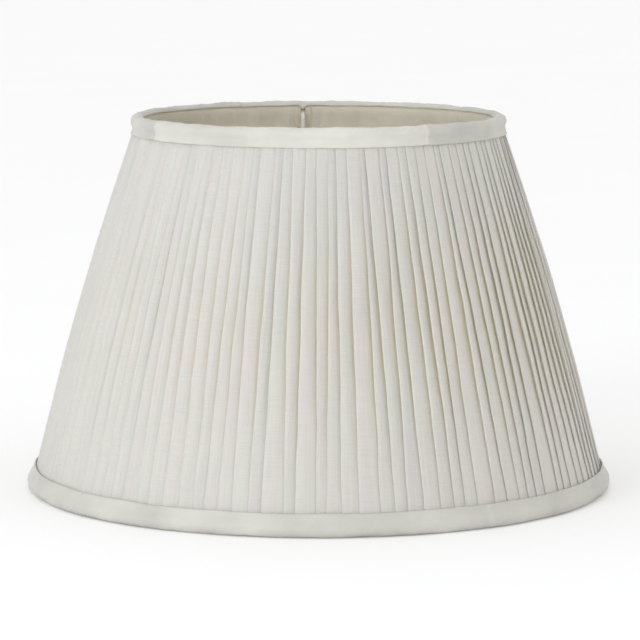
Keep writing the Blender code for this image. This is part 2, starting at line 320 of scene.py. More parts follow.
def link(name, mesh, material, smooth=True):
    mesh.name = name
    mesh.materials.clear()
    mesh.materials.append(material)
    mesh.polygons.foreach_set("use_smooth", [smooth] * len(mesh.polygons))
    made = bpy.data.objects.new(name, mesh)
    bpy.context.scene.collection.objects.link(made)
    return made


def plain_mesh(source):
    """The evaluated object as a mesh of its own; the source goes."""
    graph = bpy.context.evaluated_depsgraph_get()
    graph.update()
    mesh = bpy.data.meshes.new_from_object(source.evaluated_get(graph))
    bpy.data.objects.remove(source, do_unlink=True)
    return mesh


def turn_outward(mesh, merge=True):
    """Turns a closed mesh's faces outward, once the points that share a place are merged."""
    edited = bmesh.new()
    edited.from_mesh(mesh)
    if merge:
        bmesh.ops.remove_doubles(edited, verts=edited.verts, dist=SAME_PLACE)
    bmesh.ops.recalc_face_normals(edited, faces=edited.faces)
    edited.to_mesh(mesh)
    edited.free()


def distances_along(points):
    """How far each point lies along the line through them all."""
    travelled = [0.0]
    for before, after in zip(points, points[1:]):
        travelled.append(travelled[-1] + (after - before).length)
    return travelled


def woven(name, across, along, place, cloth_place, material, closed=False, skip=None, tone=None):
    """A sheet of quads: place(i, j) gives a point, and cloth_place(i, j) its place on the flat cloth."""
    columns = across if closed else across + 1
    vertices = []
    for i in range(columns):
        vertices += [place(i, j) for j in range(along + 1)]
    faces = []
    flat = []
    for i in range(across):
        following = (i + 1) % across if closed else i + 1
        for j in range(along):
            if skip and skip(i, j):
                continue
            first = i * (along + 1) + j
            second = following * (along + 1) + j
            faces.append((first, second, second + 1, first + 1))
            for corner in ((i, j), (i + 1, j), (i + 1, j + 1), (i, j + 1)):
                flat.extend(cloth_place(*corner))
    mesh = bpy.data.meshes.new(name)
    mesh.from_pydata(vertices, [], faces)
    mesh.uv_layers.new(name="UVMap").data.foreach_set("uv", flat)
    if tone:
        tones = mesh.attributes.new("strip_tone_and_shade", "FLOAT", "POINT")
        values = []
        for i in range(columns):
            values += [tone(i)] * (along + 1)
        tones.data.foreach_set("value", values)
    return link(name, mesh, material)


def lathe(name, outline, steps, material):
    """A closed (radius, height) outline turned once round Z, with its faces outward."""
    count = len(outline)
    vertices = []
    for step in range(steps):
        vertices += [at_angle(point, 2 * math.pi * step / steps) for point in outline]
    faces = []
    for step in range(steps):
        here = step * count
        there = (step + 1) % steps * count
        for index in range(count):
            after = (index + 1) % count
            faces.append((here + index, there + index, there + after, here + after))
    mesh = bpy.data.meshes.new(name)
    mesh.from_pydata(vertices, [], faces)
    turn_outward(mesh, merge=False)
    return link(name, mesh, material)


def rounded(corners, radius, steps=4):
    """A closed outline with every corner rounded, each by at most `radius`."""
    outline = []
    count = len(corners)
    for index, corner in enumerate(corners):
        before = corners[index - 1] - corner
        after = corners[(index + 1) % count] - corner
        reach = min(radius, before.length / 2, after.length / 2)
        start = corner + before.normalized() * reach
        end = corner + after.normalized() * reach
        for step in range(steps + 1):
            share = step / steps
            outline.append(start.lerp(corner, share).lerp(corner.lerp(end, share), share))
    return outline


def wire_mesh(name, path, radius, swellings=None, sides=4):
    """A round wire along a path as a closed mesh."""
    curve = bpy.data.curves.new(name, "CURVE")
    curve.dimensions = "3D"
    curve.bevel_depth = radius
    curve.bevel_resolution = sides
    curve.use_fill_caps = True
    spline = curve.splines.new("POLY")
    spline.points.add(len(path) - 1)
    for index, (point, corner) in enumerate(zip(spline.points, path)):
        point.co = (*corner, 1)
        point.radius = (swellings or {}).get(index, 1.0)
    source = bpy.data.objects.new(name, curve)
    bpy.context.scene.collection.objects.link(source)
    mesh = plain_mesh(source)
    turn_outward(mesh)
    return mesh


def bent(path, bend_radius, steps=7):
    """The path with each inner corner rounded to a bend of this radius."""
    made = [path[0]]
    for before, corner, after in zip(path, path[1:], path[2:]):
        incoming = (before - corner).normalized()
        outgoing = (after - corner).normalized()
        half_angle = incoming.angle(outgoing) / 2
        centre = corner + (incoming + outgoing).normalized() * (bend_radius / math.sin(half_angle))
        reach = bend_radius / math.tan(half_angle)
        start = (corner + incoming * reach - centre).normalized()
        finish = (corner + outgoing * reach - centre).normalized()
        for step in range(steps + 1):
            made.append(centre + start.slerp(finish, step / steps) * bend_radius)
    made.append(path[-1])
    return made


# Node helpers


class Steps:
    """Adds nodes to a tree, each fed by values or by the outputs of earlier nodes."""

    def __init__(self, tree):
        self.tree = tree

    def feed(self, node, values):
        """Feeds a node's inputs with values, or with the outputs of other nodes."""
        for key, value in values.items():
            if isinstance(value, bpy.types.NodeSocket):
                self.tree.links.new(value, node.inputs[key])
            else:
                node.inputs[key].default_value = value

    def add(self, kind, values=None, **settings):
        node = self.tree.nodes.new(kind)
        for name, value in settings.items():
            setattr(node, name, value)
        self.feed(node, values or {})
        return node

    def math(self, operation, first, second=0.0, third=0.0):
        return self.add("ShaderNodeMath", {0: first, 1: second, 2: third}, operation=operation).outputs[0]

    def ramp(self, value, low, high, start, end, kind="LINEAR"):
        """value brought from low..high to start..end, and held there outside it."""
        fed = {0: value, 1: low, 2: high, 3: start, 4: end}
        return self.add("ShaderNodeMapRange", fed, interpolation_type=kind).outputs[0]

    def mix(self, share, first, second):
        return self.math("ADD", first, self.math("MULTIPLY", self.math("SUBTRACT", second, first), share))

    def noise(self, place, scale=1.0, detail=2.0, roughness=0.5):
        """Smooth noise round 0.5; a larger scale is finer."""
        fed = {"Vector": place, "Scale": scale, "Detail": detail, "Roughness": roughness}
        return self.add("ShaderNodeTexNoise", fed).outputs[0]

    def stretched(self, place, scales):
        """The place with each of its axes scaled on its own."""
        return self.add("ShaderNodeMapping", {"Vector": place, "Scale": scales}).outputs[0]

    def random(self, number, seed, low, high):
        """A random value that is the same each time for this number and seed."""
        fed = {2: low, 3: high, "ID": number, "Seed": seed}
        return self.add("FunctionNodeRandomValue", fed, data_type="FLOAT").outputs[1]

    def vary(self, value, pattern, amount):
        """The value changed by up to half the amount, as a pattern goes from 0 to 1."""
        return self.math("MULTIPLY_ADD", self.math("SUBTRACT", pattern, 0.5), amount, value)

    def scaled(self, colour, share):
        return self.add("ShaderNodeVectorMath", {0: colour, 3: share}, operation="SCALE").outputs[0]

    def added(self, colour, change, share):
        """The colour with a share of the change added."""
        fed = {0: change, 1: share, 2: colour}
        return self.add("ShaderNodeVectorMath", fed, operation="MULTIPLY_ADD").outputs[0]

    def own_place(self):
        """The place on the piece, in its own coordinates."""
        return self.add("ShaderNodeTexCoord").outputs["Object"]

    def stored(self, name):
        """A number that the mesh holds at each point."""
        return self.add("ShaderNodeAttribute", attribute_name=name).outputs["Fac"]

    def curve(self, value, heights):
        """A Float Curve through evenly spaced heights, the last at 1."""
        node = self.add("ShaderNodeFloatCurve", {"Value": value})
        points = node.mapping.curves[0].points
        points[0].location = (0, heights[0])
        points[1].location = (1, heights[-1])
        for index in range(1, len(heights) - 1):
            points.new(index / (len(heights) - 1), heights[index])
        for point in points:
            point.handle_type = "VECTOR"
        node.mapping.update()
        return node.outputs[0]


def shape_tree(name, inputs):
    """A Geometry Nodes tree with named inputs, and its Steps."""
    tree = bpy.data.node_groups.new(name, "GeometryNodeTree")
    for label, kind in inputs:
        tree.interface.new_socket(name=label, in_out="INPUT", socket_type="NodeSocket" + kind)
    tree.interface.new_socket(name="Geometry", in_out="OUTPUT", socket_type="NodeSocketGeometry")
    return tree, Steps(tree)


def shaped(name, tree, values):
    """The plain mesh that a Geometry Nodes tree makes from these values of its inputs."""
    source = bpy.data.objects.new(name, bpy.data.meshes.new(name))
    bpy.context.scene.collection.objects.link(source)
    modifier = source.modifiers.new("Shape", "NODES")
    modifier.node_group = tree
    for item in tree.interface.items_tree:
        if item.item_type == "SOCKET" and item.in_out == "INPUT":
            modifier[item.identifier] = values[item.name]
    return plain_mesh(source)


# The pleated cover


def fold_place(steps, given, pleat, down, share):
    """Where a fold lies at this height, counted in pleats; each fold strays and sways on its own."""
    calc = steps.math
    number = calc("MODULO", pleat, given["Pleats"])
    strays = [steps.random(number, calc("ADD", given["Seed"], change), -1.0, 1.0) for change in (0, 1)]
    stray = calc("MULTIPLY", steps.mix(share, *strays), given["Stray"])
    fed = {0: calc("MULTIPLY", number, 3.7), 1: calc("MULTIPLY", down, 22.0)}
    spot = steps.add("ShaderNodeCombineXYZ", fed).outputs[0]
    swaying = steps.noise(spot, detail=1.0)
    sway = calc("MULTIPLY", calc("SUBTRACT", swaying, 0.5), given["Sway"])
    return calc("ADD", pleat, calc("ADD", stray, calc("MULTIPLY", sway, 2.0)))


def cover_tree():
    """A tapered cover of knife pleats, pressed flat at both ends and lapped round both rings' wires."""
    lengths = (
        "Top Radius", "Top Height", "Bottom Radius", "Bottom Height", "Cloth per Pleat", "Back", "Bow",
        "Bulk at Top", "Bulk at Bottom", "Swell", "Stray", "Sway", "Lap Radius", "Top Lap", "Bottom Lap",
        "Top Pressed", "Bottom Pressed",
    )
    inputs = [("Pleats", "Int"), ("Rows", "Int"), ("Seed", "Int"), ("Cloth", "Material")]
    inputs += [(label, "Float") for label in lengths]
    tree, steps = shape_tree("Pleated Cover", inputs)
    given = steps.add("NodeGroupInput").outputs
    calc = steps.math
    points = len(PLEAT_SECTION)
    lap_rows = 5

    columns = calc("MULTIPLY_ADD", given["Pleats"], float(points), 1.0)
    grid = steps.add("GeometryNodeMeshGrid", {"Vertices X": columns, "Vertices Y": given["Rows"]})
    index = steps.add("GeometryNodeInputIndex").outputs[0]
    column = calc("FLOOR", calc("DIVIDE", index, given["Rows"]))
    row = calc("SUBTRACT", index, calc("MULTIPLY", column, given["Rows"]))
    turn = calc("DIVIDE", column, float(points))
    pleat = calc("FLOOR", turn)
    through = calc("SUBTRACT", turn, pleat)

    # The slanted side, as a length and two unit directions
    run = calc("SUBTRACT", given["Bottom Radius"], given["Top Radius"])
    rise = calc("SUBTRACT", given["Bottom Height"], given["Top Height"])
    length = calc("SQRT", calc("ADD", calc("MULTIPLY", run, run), calc("MULTIPLY", rise, rise)))
    run_share = calc("DIVIDE", run, length)
    rise_share = calc("DIVIDE", rise, length)
    lean = calc("ARCTAN2", run_share, calc("MULTIPLY", rise_share, -1.0))

    # Rows from the end of the top lap to the end of the bottom lap, closer together over the wires
    last = calc("SUBTRACT", given["Rows"], 1.0)
    from_top = calc("SUBTRACT", last, row)
    lap_end = calc("SUBTRACT", last, float(lap_rows))
    top_part = calc("ADD", given["Top Lap"], given["Top Pressed"])
    bottom_part = calc("ADD", given["Bottom Lap"], given["Bottom Pressed"])
    middle_part = calc("SUBTRACT", length, calc("ADD", given["Top Pressed"], given["Bottom Pressed"]))
    down = calc("MULTIPLY", given["Top Lap"], -1.0)
    down = calc("ADD", down, steps.ramp(from_top, 0.0, float(lap_rows), 0.0, top_part))
    down = calc("ADD", down, steps.ramp(from_top, float(lap_rows), lap_end, 0.0, middle_part))
    down = calc("ADD", down, steps.ramp(from_top, lap_end, last, 0.0, bottom_part))
    share = steps.ramp(down, 0.0, length, 0.0, 1.0)
    arch = calc("SINE", calc("MULTIPLY", share, math.pi))

    # Round the shade: the face of a pleat, then the tuck under the next one and back
    reach = steps.mix(share, given["Top Radius"], given["Bottom Radius"])
    pitch = calc("DIVIDE", calc("MULTIPLY", reach, 2 * math.pi), given["Pleats"])
    spare = calc("MULTIPLY", calc("SUBTRACT", given["Cloth per Pleat"], pitch), 0.5)
    tuck_size = calc("DIVIDE", calc("MAXIMUM", spare, LEAST_TUCK), pitch)
    here = fold_place(steps, given, pleat, down, share)
    after = fold_place(steps, given, calc("ADD", pleat, 1.0), down, share)
    face = steps.curve(through, [point[0] for point in PLEAT_SECTION] + [1.0])
    tuck = steps.curve(through, [point[1] for point in PLEAT_SECTION] + [0.0])
    depth = steps.curve(through, [point[2] for point in PLEAT_SECTION] + [PLEAT_SECTION[0][2]])
    place = calc("ADD", steps.mix(face, here, after), calc("MULTIPLY", tuck, tuck_size))
    angle = calc("DIVIDE", calc("MULTIPLY", place, 2 * math.pi), given["Pleats"])
    cosine = calc("COSINE", angle)
    sine = calc("SINE", angle)

    # Out of the side
    bulk = steps.mix(share, given["Bulk at Top"], given["Bulk at Bottom"])
    bulk = calc("ADD", bulk, calc("MULTIPLY", given["Swell"], arch))
    number = calc("MODULO", pleat, given["Pleats"])
    fullness = steps.random(number, calc("ADD", given["Seed"], 5.0), LEAST_FULLNESS, MOST_FULLNESS)
    spot = steps.add("ShaderNodeCombineXYZ", {0: cosine, 1: sine, 2: calc("MULTIPLY", down, 6.0)})
    soft = calc("SUBTRACT", steps.noise(spot.outputs[0], 6.0), 0.5)
    unevenness = calc("MULTIPLY", calc("MULTIPLY", soft, COVER_UNEVENNESS), arch)
    out = calc("ADD", given["Back"], calc("MULTIPLY", given["Bow"], arch))
    out = calc("ADD", out, calc("MULTIPLY", calc("MULTIPLY", bulk, depth), fullness))
    out = calc("ADD", out, unevenness)
    over_top = steps.ramp(down, 0.0, given["Top Pressed"], 1.0, 0.0, "SMOOTHSTEP")
    foot = calc("SUBTRACT", length, given["Bottom Pressed"])
    over_bottom = steps.ramp(down, foot, length, 0.0, 1.0, "SMOOTHSTEP")
    lapped = calc("ADD", given["Lap Radius"], calc("MULTIPLY", depth, PLEATS_OVER_WIRE))
    out = steps.mix(calc("ADD", over_top, over_bottom), out, lapped)

    # Over the wires the cloth turns about their centres
    past_top = calc("MAXIMUM", calc("MULTIPLY", down, -1.0), 0.0)
    past_bottom = calc("MAXIMUM", calc("SUBTRACT", down, length), 0.0)
    turned = calc("DIVIDE", calc("SUBTRACT", past_top, past_bottom), given["Lap Radius"])
    facing = calc("ADD", lean, turned)
    down_held = calc("MULTIPLY", share, length)
    radius = calc("MULTIPLY_ADD", run_share, down_held, given["Top Radius"])
    radius = calc("MULTIPLY_ADD", calc("COSINE", facing), out, radius)
    height = calc("MULTIPLY_ADD", rise_share, down_held, given["Top Height"])
    height = calc("MULTIPLY_ADD", calc("SINE", facing), out, height)
    spot = {0: calc("MULTIPLY", radius, cosine), 1: calc("MULTIPLY", radius, sine), 2: height}
    position = steps.add("ShaderNodeCombineXYZ", spot).outputs[0]

    # The place on the flat cloth, in metres, read before the points move
    arcs = pleat_arc_shares()
    along = calc("MULTIPLY", calc("ADD", pleat, steps.curve(through, arcs)), given["Cloth per Pleat"])
    flat = steps.add("ShaderNodeCombineXYZ", {0: along, 1: calc("MULTIPLY", down, -1.0)}).outputs[0]
    fed = {"Geometry": grid.outputs["Mesh"], "Name": "UVMap", "Value": flat}
    mapped = steps.add("GeometryNodeStoreNamedAttribute", fed, data_type="FLOAT2", domain="POINT")
    fed = {"Geometry": mapped.outputs[0], "Name": "fold_height", "Value": steps.mix(arch, 1.0, depth)}
    marked = steps.add("GeometryNodeStoreNamedAttribute", fed, data_type="FLOAT", domain="POINT")
    fed = {"Geometry": marked.outputs[0], "Position": position}
    moved = steps.add("GeometryNodeSetPosition", fed)
    closed = steps.add("GeometryNodeMergeByDistance", {"Geometry": moved.outputs[0], "Distance": SAME_PLACE})
    real = steps.add("GeometryNodeRealizeInstances", {"Geometry": closed.outputs[0]})
    finished = steps.add("GeometryNodeSetMaterial", {"Geometry": real.outputs[0], "Material": given["Cloth"]})
    steps.add("NodeGroupOutput", {"Geometry": finished.outputs[0]})
    return tree


def pleat_arc_shares():
    """How much of a pleat's cloth lies before each point of its section, from 0 to 1."""
    # A pleat's sizes midway down the side
    pitch = 0.0077
    tuck = 0.0027
    depth = 0.0027
    corners = [Vector((face * pitch + under * tuck, out * depth)) for face, under, out in PLEAT_SECTION]
    corners.append(Vector((pitch, PLEAT_SECTION[0][2] * depth)))
    travelled = distances_along(corners)
    return [distance / travelled[-1] for distance in travelled]


# Materials


def finish(name):
    """A new material, its Steps and its Principled shader."""
    made = bpy.data.materials.new(name)
    made.use_nodes = True
    steps = Steps(made.node_tree)
    return made, steps, made.node_tree.nodes["Principled BSDF"]


def let_light_through(made, steps, shader, tinted, bump, share):
    """Mixes a Translucent shader in, so that the cloth glows a little from behind."""
    through = steps.add("ShaderNodeBsdfTranslucent", {"Color": tinted, "Normal": bump})
    mixed = steps.add("ShaderNodeMixShader", {0: share, 1: shader.outputs[0], 2: through.outputs[0]})
    steps.feed(made.node_tree.nodes["Material Output"], {"Surface": mixed.outputs[0]})


def cloth_finish(name, colour, *, thread, relief, slub, roughness, sheen=0.0, through=0.0, bias=0.0,
                 streaks=0.0, cloud=0.03, ripples=0.0, tone=None, painted_hollow_shade=None):
    """Plain-woven cloth. thread is its weave's pitch, relief the height of its threads and bias their turn.

    slub, streaks and cloud are how far thick threads, drawn threads and soft patches change its colour; the
    colour given for the pleats' hollows is painted shade.
    """
    made, steps, shader = finish(name)
    calc = steps.math
    flat = steps.add("ShaderNodeUVMap", uv_map="UVMap").outputs[0]
    turned = steps.add("ShaderNodeMapping", {"Vector": flat, "Rotation": (0, 0, bias)}).outputs[0]
    across = steps.add("ShaderNodeSeparateXYZ", {0: turned})
    warp = calc("SINE", calc("MULTIPLY", across.outputs[0], 2 * math.pi / thread))
    weft = calc("SINE", calc("MULTIPLY", across.outputs[1], 2 * math.pi / thread))
    weave = calc("MULTIPLY_ADD", calc("MULTIPLY", warp, weft), 0.5, 0.5)

    # Slubs run along the weft, and streaks down the warp
    slubs = steps.noise(steps.stretched(turned, (90, 2600, 1)), detail=3.0, roughness=0.65)
    warps = steps.noise(steps.stretched(turned, (950, 22, 1)), detail=3.0, roughness=0.6)
    clouds = steps.noise(steps.own_place(), 24.0, 3.0)
    shade = steps.vary(1.0, slubs, -slub)
    shade = steps.vary(shade, warps, -streaks)
    shade = steps.vary(shade, clouds, -cloud)
    shade = steps.vary(shade, weave, 0.05)
    # The stored tone multiplies the colour; on the bindings it carries the strips' tones together with
    # painted shade
    if tone:
        shade = calc("MULTIPLY", shade, steps.stored(tone))
    face = tuple(colour)
    if painted_hollow_shade:
        # Painted shade: the hollows of the pleats are painted darker and warmer by their fold height,
        # standing in for shade and light bounced between the folds; the dye is also a little uneven from fold
        # to fold
        hollow_shade_share = steps.ramp(steps.stored("fold_height"), 0.02, 0.50, 1.0, 0.0)
        face = steps.added(face, tuple(under - over for under, over in zip(painted_hollow_shade, colour)), hollow_shade_share)
        dye = steps.noise(steps.stretched(flat, (160, 11, 1)), detail=1.0)
        face = steps.added(face, (0.05, -0.035, 0.02), calc("SUBTRACT", dye, 0.5))
    tinted = steps.scaled(face, shade)

    threads = calc("MULTIPLY_ADD", slubs, 0.8, weave)
    threads = calc("MULTIPLY_ADD", warps, 0.5, threads)
    bump = steps.add("ShaderNodeBump", {"Height": threads, "Strength": 0.6, "Distance": relief}).outputs[0]
    if ripples > 0:
        folds = steps.noise(steps.stretched(flat, (420, 9, 1)), detail=1.0)
        fed = {"Height": folds, "Strength": 1.0, "Distance": ripples, "Normal": bump}
        bump = steps.add("ShaderNodeBump", fed).outputs[0]
    steps.feed(shader, {
        "Base Color": tinted,
        "Normal": bump,
        "Roughness": steps.ramp(weave, 0.0, 1.0, roughness + 0.06, roughness - 0.06),
        "Specular IOR Level": 0.25,
        "Sheen Weight": sheen,
        "Sheen Roughness": 0.45,
        "Sheen Tint": (0.95, 0.97, 1.0, 1),
    })
    if through > 0:
        let_light_through(made, steps, shader, tinted, bump, through)
    return made


def metal_finish(name, colour, metallic, roughness, coat, speckle):
    """Wire or sheet metal with a slightly uneven skin and fine pits."""
    made, steps, shader = finish(name)
    solid = steps.own_place()
    stains = steps.noise(solid, 260.0, 4.0)
    pits = steps.noise(solid, 1900.0)
    bump = steps.add("ShaderNodeBump", {"Height": pits, "Strength": 0.25, "Distance": 0.00008})
    steps.feed(shader, {
        "Base Color": steps.scaled(colour, steps.vary(1.0, stains, speckle)),
        "Roughness": steps.ramp(stains, 0.3, 0.7, roughness - 0.08, roughness + 0.10),
        "Normal": bump.outputs[0],
        "Metallic": metallic,
        "Coat Weight": coat,
        "Coat Roughness": 0.18,
    })
    return made


def plastic_finish(name, colour):
    """Moulded plastic with faint flow marks and a fine grain."""
    made, steps, shader = finish(name)
    solid = steps.own_place()
    grain = steps.noise(solid, 2600.0)
    flow = steps.noise(solid, 90.0)
    bump = steps.add("ShaderNodeBump", {"Height": grain, "Strength": 0.3, "Distance": 0.00005})
    steps.feed(shader, {
        "Base Color": steps.scaled(colour, steps.vary(1.0, flow, 0.05)),
        "Roughness": steps.ramp(flow, 0.3, 0.7, 0.40, 0.50),
        "Normal": bump.outputs[0],
        "Subsurface Weight": 0.1,
        "Subsurface Radius": (0.002, 0.002, 0.0015),
    })
    return made


def floor_finish(name):
    """Pale and nearly even, and a little lit from within."""
    made, steps, shader = finish(name)
    mottle = steps.noise(steps.own_place(), 5.0)
    steps.feed(shader, {
        "Base Color": steps.ramp(mottle, 0.0, 1.0, 0.84, 0.86),
        "Roughness": 0.9,
        "Specular IOR Level": 0.1,
        "Emission Color": (1, 1, 1, 1),
        "Emission Strength": 0.10,
    })
    return made


# Operators, one for each piece or group of like pieces


class SHADE_OT_stage(bpy.types.Operator):
    """Set up the camera, the soft studio light and the pale floor"""

    bl_idname = "shade.stage"
    bl_label = "Stage"

    def execute(self, context):
        sizes = sized("stage")
        right = Vector((math.cos(CAMERA_TURN), math.sin(CAMERA_TURN), 0))
        back = Vector((math.sin(CAMERA_TURN), -math.cos(CAMERA_TURN), 0))
        camera = bpy.data.objects.new("camera", bpy.data.cameras.new("camera"))
        camera.data.lens = sizes.lens
        camera.data.sensor_width = 36
        camera.location = back * sizes.distance + right * sizes.sideways + Vector((0, 0, sizes.height))
        camera.rotation_euler = (math.pi / 2 - sizes.pitch, 0, CAMERA_TURN)
        context.scene.collection.objects.link(camera)
        context.scene.camera = camera
        context.scene.view_settings.view_transform = "Standard"

        self.add_key_light(context, CAMERA_TURN + sizes.key_turn, sizes.key_power)
        self.add_world(context, sizes.surround)
        self.add_floor()
        return {"FINISHED"}

    def add_key_light(self, context, turn, power):
        """A large soft disc that stands to one side, aimed at the middle of the shade."""
        distance = 2.6
        height = 0.75
        lamp = bpy.data.lights.new("key", "AREA")
        lamp.shape = "DISK"
        lamp.size = 1.5
        lamp.energy = power
        lamp.color = (0.93, 0.965, 1.0)
        light = bpy.data.objects.new("key", lamp)
        light.location = (math.sin(turn) * distance, -math.cos(turn) * distance, height)
        aim = Vector((0, 0, CAD_BOX[1].z / 2)) - light.location
        light.rotation_euler = aim.to_track_quat("-Z", "Y").to_euler()
        context.scene.collection.objects.link(light)

    def add_world(self, context, surround):
        world = bpy.data.worlds.new("studio")
        world.use_nodes = True
        context.scene.world = world
        background = world.node_tree.nodes["Background"]
        background.inputs["Color"].default_value = (1, 1, 1, 1)
        background.inputs["Strength"].default_value = surround

    def add_floor(self):
        disc = bmesh.new()
        bmesh.ops.create_circle(disc, cap_ends=True, segments=64, radius=40)
        mesh = bpy.data.meshes.new("floor")
        disc.to_mesh(mesh)
        disc.free()
        floor = link("floor", mesh, floor_finish("pale_floor"), smooth=False)
        floor.location.z = -0.0002


class SHADE_OT_wire_frame(bpy.types.Operator):
    """Give the rings and struts their zinc-plated finish"""

    bl_idname = "shade.wire_frame"
    bl_label = "Wire Frame"

    def execute(self, context):
        zinc = metal_finish("zinc_wire", sized("colours").zinc, 0.9, 0.42, 0.0, 0.35)
        for name, node in frame["nodes"].items():
            if name.startswith("strut_") or name in ("top_ring", "bottom_ring"):
                for place in node.material_slots:
                    place.material = zinc
        return {"FINISHED"}


class SHADE_OT_ring_tapes(bpy.types.Operator):
    """Wind cotton tape round both rings, each turn lapping over the last"""

    bl_idname = "shade.ring_tapes"
    bl_label = "Ring Tapes"

    def execute(self, context):
        sizes = sized("lining")
        cotton = cloth_finish(
            "cotton_tape",
            sized("colours").tape,
            thread=0.0008,
            relief=0.00012,
            slub=0.10,
            roughness=0.8,
            sheen=0.15,
        )
        for end, wire in (("top", TOP_WIRE), ("bottom", BOTTOM_WIRE)):
            turns = round(2 * math.pi * wire.x / sizes.tape_advance)
            tape, length = self.wound(f"{end}_tape_winding", wire, turns, sizes, cotton)
            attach(tape, "shade")
            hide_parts(f"{end}_ring_tape")
        return {"FINISHED"}

    def wound(self, name, wire, turns, sizes, cotton):
        """One strip wound on in a helix. Its trailing edge rises over the edge of the turn before."""
        steps = 12
        bands = 4
        under = TAPE_OUTER - CLOTH * 0.9
        over = TAPE_OUTER - CLOTH * 0.15
        turn_length = math.hypot(2 * math.pi * (under + over) / 2, sizes.tape_advance)

        def place(i, j):
            wind = 2 * math.pi * i / steps
            moved = i / (steps * turns) + (j / bands - 0.5) * sizes.tape_width / (2 * math.pi * wire.x)
            radius = over + (under - over) * j / bands
            return at_angle(round_point(wire, wind, radius), moved * 2 * math.pi)

        def cloth_place(i, j):
            return i / steps * turn_length, j / bands * sizes.tape_width

        tape = woven(name, steps * turns, bands, place, cloth_place, cotton)
        return tape, turns * turn_length


class SHADE_OT_pleated_cover(bpy.types.Operator):
    """Pleat the ivory cover and pull it over the frame"""

    bl_idname = "shade.pleated_cover"
    bl_label = "Pleated Cover"

    def execute(self, context):
        sizes = sized("cover")
        top_lap = LAP_MIDDLE * math.radians(50)
        bottom_lap = LAP_MIDDLE * math.radians(80)
        ivory = cloth_finish(
            "ivory_slub_cloth",
            sized("colours").cover,
            thread=0.00042,
            relief=0.00012,
            slub=0.22,
            roughness=0.72,
            sheen=0.30,
            through=0.36,
            streaks=0.16,
            cloud=0.05,
            ripples=0.00035,
            painted_hollow_shade=sized("colours").painted_hollow_shade,
        )
        # The tree's inputs have the names of the settings that feed them
        labels = {key: sizes.bl_rna.properties[key].name for key in CoverSizes.__annotations__}
        values = {label: getattr(sizes, key) for key, label in labels.items()}
        values.update({
            "Cloth": ivory,
            "Top Radius": TOP_WIRE.x,
            "Top Height": TOP_WIRE.y,
            "Bottom Radius": BOTTOM_WIRE.x,
            "Bottom Height": BOTTOM_WIRE.y,
            "Lap Radius": LAP_MIDDLE,
            "Top Lap": top_lap,
            "Bottom Lap": bottom_lap,
        })
        cover = link("knife_pleated_cover", shaped("knife_pleated_cover", cover_tree(), values), ivory)
        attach(cover, "shade")
        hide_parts("pleated_cover")
        return {"FINISHED"}


def lining_folds(angle, down):
    """How far the lining's soft folds stand in here."""
    sizes = sized("lining")
    share = held_between(down / SIDE_LENGTH, 0, 1)
    arch = math.sin(math.pi * share)
    fold = 0.5 + 0.7 * ripple(angle, sizes.folds, share * 0.9, 1)
    fold += 0.35 * ripple(angle, sizes.folds * 2.3, share * 1.5, 2)
    depth = LINING_FOLD_AT_RINGS + (sizes.fold_depth - LINING_FOLD_AT_RINGS) * arch
    held = max(near(angle, arm, 0.09) for arm in ARM_ANGLES) * (1 - held_between(down / 0.03, 0, 1))
    seam = max(near(angle, seam_angle, 0.035) for seam_angle in SEAM_ANGLES)
    return depth * max(fold, 0) * (1 - held) * (1 - 0.7 * seam)


def lining_point(angle, down, further_in=0.0):
    """A point on the lining, which turns over the wires at both ends."""
    past_top = max(-down, 0) / LAP_MIDDLE
    past_bottom = max(down - SIDE_LENGTH, 0) / LAP_MIDDLE
    facing = SIDE_LEAN + math.pi - past_top + past_bottom
    held = held_between(down, 0, SIDE_LENGTH)
    over = max(1 - held / 0.0025, 0, 1 - (SIDE_LENGTH - held) / 0.004)
    slack = sized("lining").slack * math.sin(math.pi * held / SIDE_LENGTH)
    inward = LINING_STAND + slack + lining_folds(angle, down) * (1 - over) + further_in
    inward += (LAP_MIDDLE - LINING_STAND) * over
    base = side_point(held, 0)
    return at_angle(base + Vector((math.cos(facing), math.sin(facing))) * inward, angle)


class SHADE_OT_lining(bpy.types.Operator):
    """Hang the soft lining inside the frame, slit round the fitting's arms"""

    bl_idname = "shade.lining"
    bl_label = "Lining"

    def execute(self, context):
        sizes = sized("lining")
        warm = cloth_finish(
            "warm_lining_cloth",
            sized("colours").lining,
            thread=0.00035,
            relief=0.00007,
            slub=0.08,
            roughness=0.60,
            sheen=0.35,
            through=0.56,
            cloud=0.20,
        )
        top_lap = LAP_MIDDLE * math.radians(82)
        bottom_lap = LAP_MIDDLE * math.radians(45)
        whole = SIDE_LENGTH + top_lap + bottom_lap
        slit_depth = 0.0065
        slit_half_angle = 0.0021 / TOP_WIRE.x

        def angle_of(i):
            return 2 * math.pi * i / sizes.columns

        def down_of(j):
            """Rows lie closer together at both ends."""
            share = j / sizes.rows
            eased = share - math.sin(2 * math.pi * share) / (2 * math.pi) * 0.8
            return whole * eased - top_lap

        def place(i, j):
            return lining_point(angle_of(i), down_of(sizes.rows - j))

        def cloth_place(i, j):
            return angle_of(i) * (TOP_WIRE.x + BOTTOM_WIRE.x) / 2, -down_of(sizes.rows - j)

        def skip(i, j):
            middle = (angle_of(i) + angle_of(i + 1)) / 2
            beside_arm = any(abs(swing(middle - arm)) < slit_half_angle for arm in ARM_ANGLES)
            return beside_arm and down_of(sizes.rows - j) < slit_depth

        lining = woven(
            "soft_lining", sizes.columns, sizes.rows, place, cloth_place, warm, closed=True, skip=skip
        )
        lining.data.flip_normals()
        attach(lining, "shade")
        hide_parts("lining")
        return {"FINISHED"}


